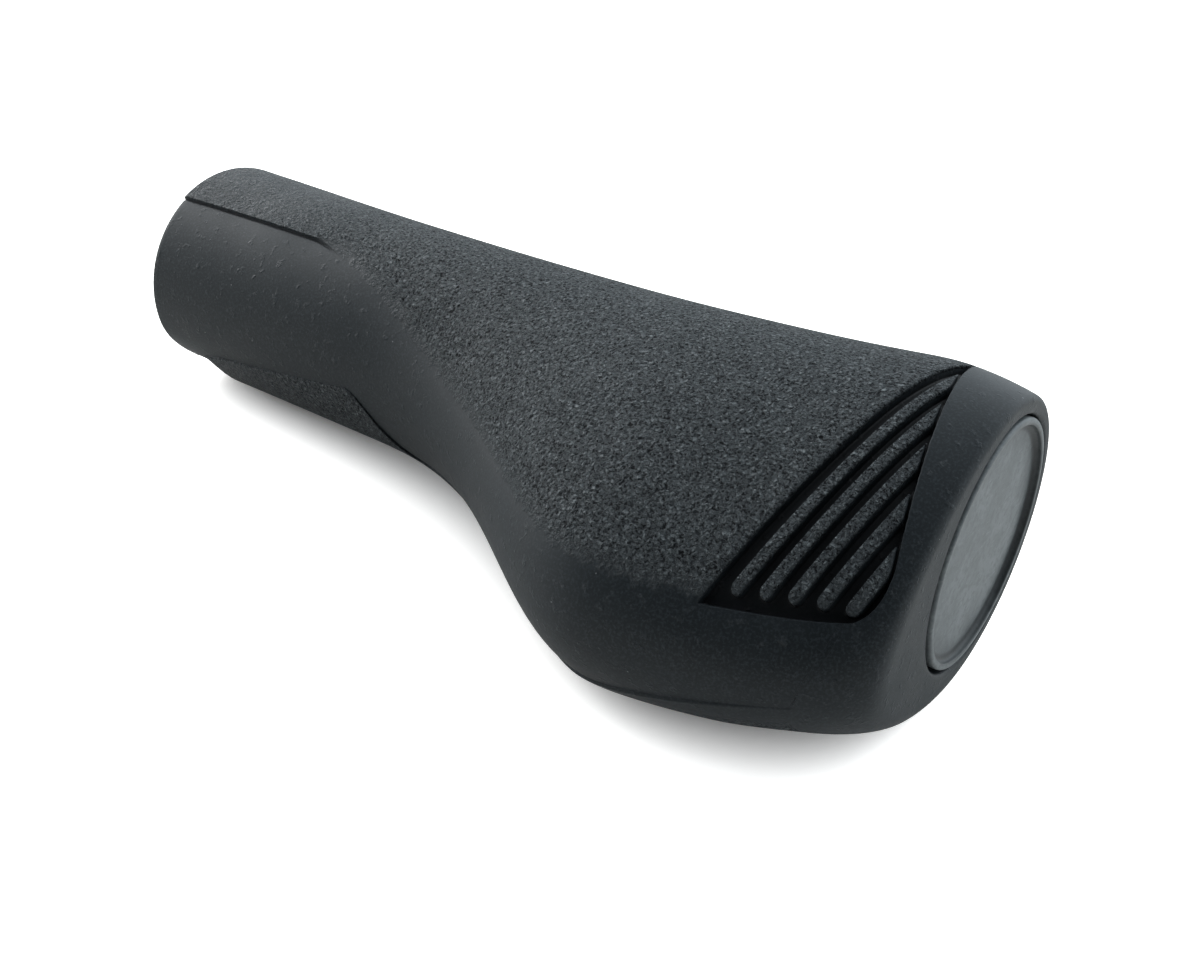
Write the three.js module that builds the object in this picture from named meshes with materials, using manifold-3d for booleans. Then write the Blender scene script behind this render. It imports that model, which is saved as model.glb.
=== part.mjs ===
// Wing-shaped rubber handlebar grip with a round plug in its outer end. Millimetres, +Z up.
// It is drawn with the bar axis along X, the inner end at x = 0 and the palm rest level towards -Y.
// At the end it is turned about the bar axis so that it lies on its underside, as on a table.

import * as THREE from 'three';
import { LoftGeometry } from 'three/addons/geometries/LoftGeometry.js';
import { mergeVertices } from 'three/addons/utils/BufferGeometryUtils.js';
import Module from 'manifold-3d';

// Round tube over the handlebar
const GRIP_LENGTH = 130;
const BAR_DIAMETER = 22.2;
const TUBE_DIAMETER = 32.6;
const MOUTH_SWELL = 0.2;
const MOUTH_SWELL_LENGTH = 25;
const MOUTH_EDGE_RADIUS = 0.8;

// Swell of the tube towards the outer end
const END_DIAMETER = 37.8;
const SWELL_LENGTH = 55;
const SWELL_POWER = 2.15;

// Palm rest: lengths run back from the outer end, reaches go out from the bar axis
const WIDEST_TO_END = 30.9;
const FLARE_LENGTH = 59.1;
const FLARE_POWER = 1.41;
const PALM_REACH = 38;
const PALM_END_REACH = 25.3;
const PALM_CORNER_POWER = 1.4;
const PALM_EDGE_RADIUS = 4.8;
const PALM_THINNING = 2.15;
const PALM_CROWN = 0.3;
const PALM_DROOP = 12.4;

// Outer end: a rounded taper and a round rim
const TAPER_LENGTH = 10.7;
const TAPER_DEPTH = 1.2;
const TAPER_POWER = 2;
const RIM_RADIUS = 0.7;

// Smooth side band between the grained panels: its two edges, as heights above the bar axis
const BAND_TOP_ON_TUBE = 15.5;
const BAND_TOP_ON_PALM = 8.5;
const BAND_DROP_START = 28;
const BAND_DROP_LENGTH = 40;
const BAND_FOOT_AT_MOUTH = -6;
const BAND_FOOT_MOUTH_DROP = 5;
const BAND_FOOT_DROP_LENGTH = 14;
const BAND_FOOT_ON_TUBE = 1;
const BAND_FOOT_PEAK = 41.5;
const BAND_FOOT_FALL = 11;
const BAND_FOOT_UNDER_PALM = -9;
const BAND_FOOT_ON_PALM = 0;
const BAND_FOOT_RISE_TO_END = 45;
const BAND_FOOT_RISE_LENGTH = 40;
const PANEL_RISE = 0.35;
const PANEL_EDGE_WIDTH = 0.3;
const PANEL_FADE_LENGTH = 8;
const PANEL_BACK_BLEND = 0.5;
const PANEL_BORDER_TO_END = 7;

// Ribbed zone on top of the palm rest, seen from above
const ZONE_CORNER_TO_END = 18.7;
const ZONE_HEEL_TO_END = 1.4;
const ZONE_HEEL_RADIUS = 6;
const ZONE_APEX_TO_END = 8;
const ZONE_APEX_PAST_AXIS = 10.2;
const ZONE_BOW = 0.6;
const GROOVE_DEPTH = 1.2;
const RIB_COUNT = 5;
const RIB_WIDTH = 1.35;
const RIB_PITCH = 2.45;
const FIRST_GROOVE_WIDTH = 1.5;
const RIB_END_GAP = 1;

// Plug in the outer end
const CAP_DIAMETER = 31.2;
const CAP_CLEARANCE = 0.4;
const CAP_THICKNESS = 3;
const CAP_BEAD_WIDTH = 0.9;
const CAP_BEAD_HEIGHT = 0.2;
const CAP_DISH_DEPTH = 0.7;
const CAP_DISH_FILLET = 1;
const SPIGOT_LENGTH = 8;
const SPIGOT_WALL = 2.2;

// Fineness of the solids, and how far a cut runs past the face that it opens
const ROW_STEP = 4.4;
const PANEL_COLUMNS = 54;
const BAND_COLUMNS = 12;
const ROUND_SEGMENTS = 56;
const EDGE_STEPS = 3;
const CURVE_STEPS = 8;
const ANGLE_TOLERANCE = 1e-7;
const SMALLEST_CROWN = 1e-6;
const CUT_PAST = 1;

const { clamp, degToRad, lerp, smoothstep } = THREE.MathUtils;
const tubeRadius = TUBE_DIAMETER / 2;
const boreRadius = BAR_DIAMETER / 2;
const recessRadius = CAP_DIAMETER / 2 + CAP_CLEARANCE;
const recessFloor = GRIP_LENGTH - CAP_THICKNESS - CAP_CLEARANCE;
const taperStart = GRIP_LENGTH - TAPER_LENGTH;
const widest = GRIP_LENGTH - WIDEST_TO_END;
const flareStart = widest - FLARE_LENGTH;
const panelBorder = GRIP_LENGTH - PANEL_BORDER_TO_END;

const wasm = await Module();
wasm.setup();

function solidOf(geometry) {
  const bare = new THREE.BufferGeometry().copy(geometry);
  bare.deleteAttribute('normal');
  bare.deleteAttribute('uv');
  const merged = mergeVertices(bare);
  const vertProperties = new Float32Array(merged.attributes.position.array);
  const triVerts = new Uint32Array(merged.index.array);
  return new wasm.Manifold(new wasm.Mesh({ numProp: 3, vertProperties, triVerts }));
}

function geometryOf(solid) {
  const mesh = solid.getMesh();
  const geometry = new THREE.BufferGeometry();
  geometry.setAttribute('position', new THREE.BufferAttribute(mesh.vertProperties, 3));
  geometry.setIndex(new THREE.BufferAttribute(mesh.triVerts, 1));
  geometry.computeVertexNormals();
  return geometry;
}

// A section is a rounded blend of two circles: the tube, and the edge of the palm rest beside it
function circlesAt(x) {
  const bodyX = Math.min(x, taperStart);
  const taper = clamp((x - taperStart) / TAPER_LENGTH, 0, 1);
  const swell = clamp((bodyX - GRIP_LENGTH + SWELL_LENGTH) / (SWELL_LENGTH - TAPER_LENGTH), 0, 1);
  const mouth = clamp(1 - x / MOUTH_SWELL_LENGTH, 0, 1);
  const thinning = clamp((bodyX - flareStart) / (taperStart - flareStart), 0, 1);
  const widening = clamp((x - flareStart) / FLARE_LENGTH, 0, 1) ** FLARE_POWER;
  const pastWidest = clamp((x - widest) / WIDEST_TO_END, 0, 1);
  const body = lerp(tubeRadius, END_DIAMETER / 2, swell ** SWELL_POWER);
  const tube = body + MOUTH_SWELL * mouth ** 2 - TAPER_DEPTH * taper ** TAPER_POWER;
  const edge = lerp(tubeRadius, PALM_EDGE_RADIUS, thinning ** PALM_THINNING);
  const flare = lerp(tubeRadius, PALM_REACH, smoothstep(widening, 0, 1));
  const corner = 1 - Math.sqrt(1 - pastWidest ** PALM_CORNER_POWER);
  const offset = Math.max(flare - (PALM_REACH - PALM_END_REACH) * corner - edge, 0);
  return { tube, edge, offset };
}

// Point of a section whose outward direction is turned up by angle from the palm side
function sectionPoint(x, angle, inset = 0) {
  const { tube, edge, offset } = circlesAt(x);
  const edgeReach = edge + offset * Math.cos(angle);
  const edgeTurn = -offset * Math.sin(angle);
  const excess = edgeReach - tube;
  const root = Math.hypot(excess, PALM_CROWN * offset + SMALLEST_CROWN);
  const reach = (tube + edgeReach + root) / 2 - inset;
  const turn = edgeTurn * (1 + excess / root) / 2;
  const y = -reach * Math.cos(angle) + turn * Math.sin(angle);
  const z = reach * Math.sin(angle) + turn * Math.cos(angle);
  return new THREE.Vector3(x, y, z);
}

// Direction on the palm side at which a section stands at the given height
function angleAtHeight(x, height) {
  let low = -Math.PI / 2;
  let high = Math.PI / 2;
  while (high - low > ANGLE_TOLERANCE) {
    const middle = (low + high) / 2;
    if (sectionPoint(x, middle).z < height) low = middle;
    else high = middle;
  }
  return low;
}

function bandTop(x) {
  const drop = smoothstep(x, BAND_DROP_START, BAND_DROP_START + BAND_DROP_LENGTH);
  return lerp(BAND_TOP_ON_TUBE, BAND_TOP_ON_PALM, drop);
}

// The lower panel climbs the tube as a tongue, dives under the flare and rises along the palm edge
function bandFoot(x) {
  const riseStart = GRIP_LENGTH - BAND_FOOT_RISE_TO_END;
  const climb = Math.min(x / BAND_FOOT_PEAK, 1);
  const dive = smoothstep(x, BAND_FOOT_PEAK, BAND_FOOT_PEAK + BAND_FOOT_FALL);
  const rise = smoothstep(x, riseStart, riseStart + BAND_FOOT_RISE_LENGTH);
  const mouthDrop = BAND_FOOT_MOUTH_DROP * clamp(1 - x / BAND_FOOT_DROP_LENGTH, 0, 1) ** 2;
  const tongue = lerp(BAND_FOOT_AT_MOUTH, BAND_FOOT_ON_TUBE, climb) - mouthDrop;
  return lerp(lerp(tongue, BAND_FOOT_UNDER_PALM, dive), BAND_FOOT_ON_PALM, rise);
}

// The panels stand proud of the band: on top only beside the tube, underneath as far as their border
function panelRise(x, angle) {
  const fade = 1 - smoothstep(x, BAND_DROP_START, BAND_DROP_START + PANEL_FADE_LENGTH);
  const upper = smoothstep(Math.sin(angle), -PANEL_BACK_BLEND, PANEL_BACK_BLEND);
  const inside = 1 - smoothstep(x, panelBorder - PANEL_EDGE_WIDTH, panelBorder);
  return PANEL_RISE * inside * lerp(1, fade, upper);
}

function sectionAt(x, inset) {
  const foot = angleAtHeight(x, bandFoot(x));
  const top = angleAtHeight(x, bandTop(x));
  const lap = PANEL_EDGE_WIDTH / tubeRadius;
  const panelStart = top + lap;
  const panelSweep = 2 * Math.PI + foot - lap - panelStart;
  const points = [];
  for (let i = 0; i <= BAND_COLUMNS; i++) {
    points.push(sectionPoint(x, foot + (top - foot) * i / BAND_COLUMNS, inset));
  }
  for (let i = 0; i <= PANEL_COLUMNS; i++) {
    const angle = panelStart + panelSweep * i / PANEL_COLUMNS;
    points.push(sectionPoint(x, angle, inset - panelRise(x, angle)));
  }
  return points.reverse();
}

// Outer skin of the grip, drawn in by inset, with a round mouth edge and a round rim
function skin(inset) {
  const sections = [];
  for (let i = 0; i < EDGE_STEPS; i++) {
    const turn = i / EDGE_STEPS * Math.PI / 2;
    const drawIn = MOUTH_EDGE_RADIUS * (1 - Math.sin(turn));
    sections.push(sectionAt(MOUTH_EDGE_RADIUS * (1 - Math.cos(turn)), inset + drawIn));
  }
  const bodyLength = taperStart - MOUTH_EDGE_RADIUS;
  const bodySteps = Math.ceil(bodyLength / ROW_STEP);
  for (let i = 0; i < bodySteps; i++) {
    sections.push(sectionAt(MOUTH_EDGE_RADIUS + bodyLength * i / bodySteps, inset));
  }
  const bandLength = TAPER_LENGTH - RIM_RADIUS;
  const bandSteps = 2 * Math.ceil(bandLength / ROW_STEP);
  for (let i = 0; i < bandSteps; i++) {
    sections.push(sectionAt(taperStart + bandLength * i / bandSteps, inset));
  }
  for (let i = 0; i <= EDGE_STEPS; i++) {
    const turn = i / EDGE_STEPS * Math.PI / 2;
    const x = GRIP_LENGTH - RIM_RADIUS * (1 - Math.sin(turn));
    sections.push(sectionAt(x, inset + RIM_RADIUS * (1 - Math.cos(turn))));
  }
  return solidOf(new LoftGeometry(sections, { capStart: true, capEnd: true }));
}

function rod(radius, from, to) {
  const geometry = new THREE.CylinderGeometry(radius, radius, to - from, ROUND_SEGMENTS);
  geometry.rotateZ(-Math.PI / 2);
  geometry.translate((from + to) / 2, 0, 0);
  return solidOf(geometry);
}

// Corners of the ribbed zone in plan: its lower side follows the upper edge of the side band
function onBandTop(x) {
  const point = sectionPoint(x, angleAtHeight(x, bandTop(x)));
  return new THREE.Vector2(point.x, point.y);
}

const zoneCorner = onBandTop(GRIP_LENGTH - ZONE_CORNER_TO_END);
const zoneApex = new THREE.Vector2(GRIP_LENGTH - ZONE_APEX_TO_END, ZONE_APEX_PAST_AXIS);
const lowerSide = onBandTop(GRIP_LENGTH - ZONE_HEEL_TO_END - ZONE_HEEL_RADIUS).sub(zoneCorner);
const zoneHeel = lowerSide.clone().multiplyScalar(
  (ZONE_CORNER_TO_END - ZONE_HEEL_TO_END) / lowerSide.x).add(zoneCorner);
lowerSide.normalize();

// Point midway between two others, pushed sideways so that the arc through it bows by ZONE_BOW
function bowControl(from, to, side) {
  const along = to.clone().sub(from).normalize();
  const across = new THREE.Vector2(along.y, -along.x).multiplyScalar(2 * ZONE_BOW * side);
  return from.clone().add(to).multiplyScalar(0.5).add(across);
}

const innerSide = new THREE.QuadraticBezierCurve(
  zoneCorner, bowControl(zoneCorner, zoneApex, 1), zoneApex);

function zoneShape() {
  const outerAlong = zoneApex.clone().sub(zoneHeel).normalize();
  const heelIn = zoneHeel.clone().addScaledVector(lowerSide, -ZONE_HEEL_RADIUS);
  const heelOut = zoneHeel.clone().addScaledVector(outerAlong, ZONE_HEEL_RADIUS);
  const outerBow = bowControl(heelOut, zoneApex, -1);
  const innerBow = innerSide.v1;
  const shape = new THREE.Shape();
  shape.moveTo(zoneCorner.x, zoneCorner.y);
  shape.lineTo(heelIn.x, heelIn.y);
  shape.quadraticCurveTo(zoneHeel.x, zoneHeel.y, heelOut.x, heelOut.y);
  shape.quadraticCurveTo(outerBow.x, outerBow.y, zoneApex.x, zoneApex.y);
  shape.quadraticCurveTo(innerBow.x, innerBow.y, zoneCorner.x, zoneCorner.y);
  return shape;
}

// A rib keeps its distance from the inner side of the zone and starts in a round end near the band
function ribShape(index) {
  const middle = FIRST_GROOVE_WIDTH + RIB_WIDTH / 2 + RIB_PITCH * index;
  const half = RIB_WIDTH / 2;
  const along = zoneApex.clone().sub(zoneCorner);
  const length = along.length();
  along.normalize();
  const cosine = along.dot(lowerSide);
  const start = (RIB_END_GAP + half + middle * cosine) / Math.sqrt(1 - cosine ** 2) / length;
  const beside = (t, distance) => {
    const tangent = innerSide.getTangent(t);
    return innerSide.getPoint(t).add(new THREE.Vector2(tangent.y, -tangent.x).multiplyScalar(distance));
  };
  const points = [];
  for (let i = 0; i <= CURVE_STEPS; i++) {
    points.push(beside(lerp(1, start, i / CURVE_STEPS), middle - half));
  }
  const end = beside(start, middle);
  const tangent = innerSide.getTangent(start);
  const heading = Math.atan2(tangent.y, tangent.x);
  for (let i = 1; i < 2 * EDGE_STEPS; i++) {
    const turn = heading + Math.PI / 2 + i / (2 * EDGE_STEPS) * Math.PI;
    points.push(new THREE.Vector2(Math.cos(turn), Math.sin(turn)).multiplyScalar(half).add(end));
  }
  for (let i = 0; i <= CURVE_STEPS; i++) {
    points.push(beside(lerp(start, 1, i / CURVE_STEPS), middle + half));
  }
  return new THREE.Shape(points);
}

function upright(shape) {
  return solidOf(new THREE.ExtrudeGeometry(shape, {
    depth: END_DIAMETER, bevelEnabled: false, curveSegments: CURVE_STEPS
  }));
}

function gripSleeve() {
  let pocket = upright(zoneShape()).subtract(skin(GROOVE_DEPTH));
  for (let i = 0; i < RIB_COUNT; i++) pocket = pocket.subtract(upright(ribShape(i)));
  const bore = rod(boreRadius, -CUT_PAST, recessFloor + CUT_PAST);
  const recess = rod(recessRadius, recessFloor, GRIP_LENGTH + CUT_PAST);
  return geometryOf(skin(0).subtract(pocket).subtract(bore).subtract(recess));
}

// Turned plug: a disc with a raised bead round its dished face, and a hollow spigot behind it
function endCap() {
  const radius = CAP_DIAMETER / 2;
  const spigot = boreRadius - CAP_CLEARANCE;
  const back = GRIP_LENGTH - CAP_THICKNESS;
  const profile = new THREE.Path();
  const crest = GRIP_LENGTH + CAP_BEAD_HEIGHT;
  const dish = GRIP_LENGTH - CAP_DISH_DEPTH;
  const beadInside = radius - CAP_BEAD_WIDTH;
  profile.moveTo(0, back);
  profile.lineTo(spigot - SPIGOT_WALL, back);
  profile.lineTo(spigot - SPIGOT_WALL, back - SPIGOT_LENGTH);
  profile.lineTo(spigot, back - SPIGOT_LENGTH);
  profile.lineTo(spigot, back);
  profile.lineTo(radius, back);
  profile.lineTo(radius, GRIP_LENGTH);
  profile.quadraticCurveTo(radius, crest, radius - CAP_BEAD_WIDTH / 2, crest);
  profile.quadraticCurveTo(beadInside, crest, beadInside, GRIP_LENGTH);
  profile.quadraticCurveTo(beadInside, dish, beadInside - CAP_DISH_FILLET, dish);
  profile.lineTo(0, dish);
  const geometry = new THREE.LatheGeometry(profile.getPoints(EDGE_STEPS), ROUND_SEGMENTS);
  geometry.rotateZ(-Math.PI / 2);
  return geometryOf(solidOf(geometry));
}

function mesh(name, geometry, material) {
  const result = new THREE.Mesh(geometry, material);
  result.name = name;
  return result;
}

const rubber = new THREE.MeshStandardMaterial({ color: 0x1f2123, roughness: 0.72, metalness: 0 });
const plugRubber = new THREE.MeshStandardMaterial({ color: 0x2b2d2f, roughness: 0.6, metalness: 0 });

const grip = new THREE.Group();
grip.add(mesh('grip_sleeve', gripSleeve(), rubber));
grip.add(mesh('end_cap', endCap(), plugRubber));
grip.rotation.x = degToRad(PALM_DROOP);

// The origin is the middle of the footprint, at the lowest point
const bounds = new THREE.Box3().setFromObject(grip, true);
const middle = bounds.getCenter(new THREE.Vector3());
grip.position.set(-middle.x, -middle.y, -bounds.min.z);
const handlebarGrip = new THREE.Group();
handlebarGrip.add(grip);

export default handlebarGrip;
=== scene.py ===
import math

import bpy
import numpy as np
from mathutils import Matrix, Vector


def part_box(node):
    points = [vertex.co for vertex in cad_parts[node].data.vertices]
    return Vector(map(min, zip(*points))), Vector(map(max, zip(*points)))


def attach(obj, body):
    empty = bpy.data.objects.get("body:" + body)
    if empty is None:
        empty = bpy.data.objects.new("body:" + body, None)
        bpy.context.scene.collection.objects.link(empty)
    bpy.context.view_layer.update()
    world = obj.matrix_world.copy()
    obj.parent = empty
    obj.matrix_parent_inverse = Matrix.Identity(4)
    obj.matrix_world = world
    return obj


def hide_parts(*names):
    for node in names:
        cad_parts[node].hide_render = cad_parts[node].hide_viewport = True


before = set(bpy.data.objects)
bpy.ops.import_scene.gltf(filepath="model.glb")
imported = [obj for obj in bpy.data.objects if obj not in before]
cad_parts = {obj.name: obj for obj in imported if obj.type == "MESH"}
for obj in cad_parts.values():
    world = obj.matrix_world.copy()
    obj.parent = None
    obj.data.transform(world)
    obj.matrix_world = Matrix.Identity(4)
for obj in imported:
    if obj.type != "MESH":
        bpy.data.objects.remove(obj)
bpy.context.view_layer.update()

# Photo camera
# It looks down on the grip from beyond the outer end and the palm side. Sizes in this file are
# millimetres, and MM turns them into the frame's metres.
MM = 0.001
VIEW_AZIMUTH = 34.033
VIEW_ELEVATION = 29.091
VIEW_ROLL = 3.943
VIEW_DISTANCE = 175.737
VIEW_TARGET = Vector((13.917, 3.672, 12.416))
LENS_LENGTH = 38.985
SENSOR_WIDTH = 36
CLIP_START = 10


def add_camera():
    azimuth = math.radians(VIEW_AZIMUTH)
    elevation = math.radians(VIEW_ELEVATION)
    roll = math.radians(VIEW_ROLL)
    back = Vector((
        math.sin(azimuth) * math.cos(elevation),
        -math.cos(azimuth) * math.cos(elevation),
        math.sin(elevation),
    ))
    right = Vector((math.cos(azimuth), math.sin(azimuth), 0))
    up = back.cross(right)
    across = math.cos(roll) * right + math.sin(roll) * up
    upward = math.cos(roll) * up - math.sin(roll) * right
    data = bpy.data.cameras.new("photo_camera")
    data.lens = LENS_LENGTH
    data.sensor_width = SENSOR_WIDTH
    data.sensor_fit = "HORIZONTAL"
    data.clip_start = CLIP_START * MM
    camera = bpy.data.objects.new("photo_camera", data)
    bpy.context.scene.collection.objects.link(camera)
    turn = Matrix((across, upward, back)).transposed().to_4x4()
    place = Matrix.Translation((VIEW_TARGET + back * VIEW_DISTANCE) * MM)
    camera.matrix_world = place @ turn
    bpy.context.scene.camera = camera


add_camera()

# Rubber sleeve
# One moulding of soft rubber, pushed over the handlebar: a round tube that grows into a palm rest,
# with raised grained panels, smooth bands between them and a ribbed zone in a pocket on top.
GRIP_LENGTH = 130
BAR_DIAMETER = 22.2
TUBE_DIAMETER = 32.6
MOUTH_SWELL = 0.2
MOUTH_SWELL_LENGTH = 25
MOUTH_EDGE_RADIUS = 0.8
END_DIAMETER = 37.8
SWELL_LENGTH = 55
SWELL_POWER = 2.15
WIDEST_TO_END = 30.9
FLARE_LENGTH = 59.1
FLARE_POWER = 1.41
PALM_REACH = 38
PALM_END_REACH = 25.3
PALM_CORNER_POWER = 1.4
PALM_EDGE_RADIUS = 4.8
PALM_THINNING = 2.15
PALM_CROWN = 0.3
PALM_DROOP = 12.4
TAPER_LENGTH = 10.7
TAPER_DEPTH = 1.2
TAPER_POWER = 2
RIM_RADIUS = 0.7

BAND_TOP_ON_TUBE = 15.5
BAND_TOP_ON_PALM = 8.5
BAND_DROP_START = 28
BAND_DROP_LENGTH = 40
BAND_FOOT_AT_MOUTH = -6
BAND_FOOT_MOUTH_DROP = 5
BAND_FOOT_DROP_LENGTH = 14
BAND_FOOT_ON_TUBE = 1
BAND_FOOT_PEAK = 41.5
BAND_FOOT_FALL = 11
BAND_FOOT_UNDER_PALM = -9
BAND_FOOT_ON_PALM = 0
BAND_FOOT_RISE_TO_END = 45
BAND_FOOT_RISE_LENGTH = 40
PANEL_RISE = 0.35
PANEL_FADE_LENGTH = 8
PANEL_BACK_BLEND = 0.5
PANEL_BORDER_TO_END = 7

ZONE_CORNER_TO_END = 18.7
ZONE_HEEL_TO_END = 1.4
ZONE_HEEL_RADIUS = 6
ZONE_APEX_TO_END = 8
ZONE_APEX_PAST_AXIS = 10.2
ZONE_BOW = 0.6
GROOVE_DEPTH = 1.2
RIB_COUNT = 5
RIB_WIDTH = 1.35
RIB_PITCH = 2.45
FIRST_GROOVE_WIDTH = 1.5
RIB_END_GAP = 1

CAP_DIAMETER = 31.2
CAP_CLEARANCE = 0.4
CAP_THICKNESS = 3
LIP_RADIUS = 0.55

tube_radius = TUBE_DIAMETER / 2
bore_radius = BAR_DIAMETER / 2
recess_radius = CAP_DIAMETER / 2 + CAP_CLEARANCE
recess_floor = GRIP_LENGTH - CAP_THICKNESS - CAP_CLEARANCE
taper_start = GRIP_LENGTH - TAPER_LENGTH
widest = GRIP_LENGTH - WIDEST_TO_END
flare_start = widest - FLARE_LENGTH


def lerp(start, end, share):
    return start + (end - start) * share


def smoothstep(value, start, end):
    share = np.clip((value - start) / (end - start), 0, 1)
    return share * share * (3 - 2 * share)


def curve_point(start, middle, end, share):
    """A point of the curve that leaves start towards middle and turns into end."""
    return (1 - share) ** 2 * start + 2 * share * (1 - share) * middle + share ** 2 * end


# A section is a rounded blend of two circles: the tube, and the edge of the palm rest beside it
def circles_at(x):
    body_x = np.minimum(x, taper_start)
    taper = np.clip((x - taper_start) / TAPER_LENGTH, 0, 1)
    swell = np.clip((body_x - GRIP_LENGTH + SWELL_LENGTH) / (SWELL_LENGTH - TAPER_LENGTH), 0, 1)
    mouth = np.clip(1 - x / MOUTH_SWELL_LENGTH, 0, 1)
    thinning = np.clip((body_x - flare_start) / (taper_start - flare_start), 0, 1)
    widening = np.clip((x - flare_start) / FLARE_LENGTH, 0, 1) ** FLARE_POWER
    past_widest = np.clip((x - widest) / WIDEST_TO_END, 0, 1)
    body = lerp(tube_radius, END_DIAMETER / 2, swell ** SWELL_POWER)
    tube = body + MOUTH_SWELL * mouth ** 2 - TAPER_DEPTH * taper ** TAPER_POWER
    edge = lerp(tube_radius, PALM_EDGE_RADIUS, thinning ** PALM_THINNING)
    flare = lerp(tube_radius, PALM_REACH, smoothstep(widening, 0, 1))
    corner = 1 - np.sqrt(1 - past_widest ** PALM_CORNER_POWER)
    offset = flare - (PALM_REACH - PALM_END_REACH) * corner - edge
    return np.array([tube, edge, offset])


# The moulding has no hard line where its stretches meet, so the circles are averaged along the
# grip, over a length that shrinks to nothing at the two ends
BLEND_REACH = 4.5
BLEND_FREE_LENGTH = 9
BLEND_SAMPLES = 13


def soft_circles_at(x):
    x = np.asarray(x, float)
    to_end = np.minimum(x, GRIP_LENGTH - x)
    reach = BLEND_REACH * smoothstep(to_end, 0, BLEND_FREE_LENGTH)
    total, weights = 0, 0
    for share in np.linspace(-1, 1, BLEND_SAMPLES + 2)[1:-1]:
        weight = (1 - share * share) ** 2
        total = total + weight * circles_at(np.clip(x + reach * share, 0, GRIP_LENGTH))
        weights += weight
    tube, edge, offset = total / weights
    return tube, edge, np.maximum(offset, 0)


SMALLEST_CROWN = 1e-6


# Point of a section whose outward direction is turned up by angle from the palm side
def section_point(x, angle, inset=0.0):
    tube, edge, offset = soft_circles_at(x)
    edge_reach = edge + offset * np.cos(angle)
    edge_turn = -offset * np.sin(angle)
    excess = edge_reach - tube
    root = np.hypot(excess, PALM_CROWN * offset + SMALLEST_CROWN)
    reach = (tube + edge_reach + root) / 2 - inset
    turn = edge_turn * (1 + excess / root) / 2
    y = -reach * np.cos(angle) + turn * np.sin(angle)
    z = reach * np.sin(angle) + turn * np.cos(angle)
    return y, z


HALVINGS = 40


def angle_at_height(x, height):
    low = np.full_like(x, -math.pi / 2)
    high = np.full_like(x, math.pi / 2)
    for _ in range(HALVINGS):
        middle = (low + high) / 2
        below = section_point(x, middle)[1] < height
        low = np.where(below, middle, low)
        high = np.where(below, high, middle)
    return low


def band_top(x):
    drop = smoothstep(x, BAND_DROP_START, BAND_DROP_START + BAND_DROP_LENGTH)
    return lerp(BAND_TOP_ON_TUBE, BAND_TOP_ON_PALM, drop)


def band_foot(x):
    rise_start = GRIP_LENGTH - BAND_FOOT_RISE_TO_END
    climb = np.minimum(x / BAND_FOOT_PEAK, 1)
    dive = smoothstep(x, BAND_FOOT_PEAK, BAND_FOOT_PEAK + BAND_FOOT_FALL)
    rise = smoothstep(x, rise_start, rise_start + BAND_FOOT_RISE_LENGTH)
    mouth_drop = BAND_FOOT_MOUTH_DROP * np.clip(1 - x / BAND_FOOT_DROP_LENGTH, 0, 1) ** 2
    tongue = lerp(BAND_FOOT_AT_MOUTH, BAND_FOOT_ON_TUBE, climb) - mouth_drop
    return lerp(lerp(tongue, BAND_FOOT_UNDER_PALM, dive), BAND_FOOT_ON_PALM, rise)


# Columns run along the grip on two stretches of the section: the smooth band from its foot up to
# its top, and the panel from there round the back and the underside to the foot again. Near those
# two lines they keep fixed distances, in between they share out the length that is left.
BAND_COLUMNS = 30
PANEL_COLUMNS = 176
LINE_DISTANCES = [0, 0.05, 0.1, 0.15, 0.21, 0.3, 0.4, 0.52]
FOOT_DISTANCES = [0, 0.06, 0.13, 0.22, 0.4]
TIP_COLUMN = 0.13
TIP_COLUMN_COUNT = 24
TABLE_STEP = 0.25
TABLE_ANGLES = 1200
TABLE_END_GAP = 0.001


def column_stretch(xs, start, end, first, last, count):
    """Angles of one stretch's columns, and their distances from its start and its end."""
    share = np.linspace(0, 1, count + 2)[1:-1]
    angles = start[:, None] + (end - start)[:, None] * np.linspace(0, 1, TABLE_ANGLES)
    y, z = section_point(xs[:, None], angles)
    steps = np.hypot(np.diff(y, axis=1), np.diff(z, axis=1))
    arcs = np.hstack([np.zeros((len(xs), 1)), np.cumsum(steps, axis=1)])
    length = arcs[:, -1:]
    places = np.hstack([
        np.tile(first, (len(xs), 1)),
        first[-1] + share * (length - first[-1] - last[-1]),
        length - np.array(last[:0:-1]),
    ])
    found = np.array([np.interp(p, a, f) for p, a, f in zip(places, arcs, angles)])
    return found, places, length - places


tip_distances = [LINE_DISTANCES[-1] + TIP_COLUMN * (i + 1) for i in range(TIP_COLUMN_COUNT)]
table_x = np.arange(0, GRIP_LENGTH + TABLE_STEP / 2, TABLE_STEP)
foot_angle = angle_at_height(table_x, band_foot(table_x))
top_angle = angle_at_height(table_x, band_top(table_x))
band_stretch = column_stretch(
    table_x, foot_angle, top_angle, FOOT_DISTANCES, LINE_DISTANCES, BAND_COLUMNS)
panel_stretch = column_stretch(
    table_x, top_angle, foot_angle + 2 * math.pi,
    LINE_DISTANCES + tip_distances, FOOT_DISTANCES, PANEL_COLUMNS)
column_angle = np.hstack([band_stretch[0], panel_stretch[0]])
column_from_foot = np.hstack([band_stretch[1], panel_stretch[2]])
column_from_top = np.hstack([band_stretch[2], panel_stretch[1]])
top_column = band_stretch[0].shape[1]
column_count = column_angle.shape[1]
on_band = np.arange(column_count) < top_column


def at(table, x):
    """Values of a column table at one x for each column, or at rows of them."""
    place = np.clip(x / TABLE_STEP, 0, len(table) - 1 - TABLE_END_GAP)
    row = place.astype(int)
    columns = np.broadcast_to(np.arange(column_count), row.shape)
    return lerp(table[row, columns], table[row + 1, columns], place - row)


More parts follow.
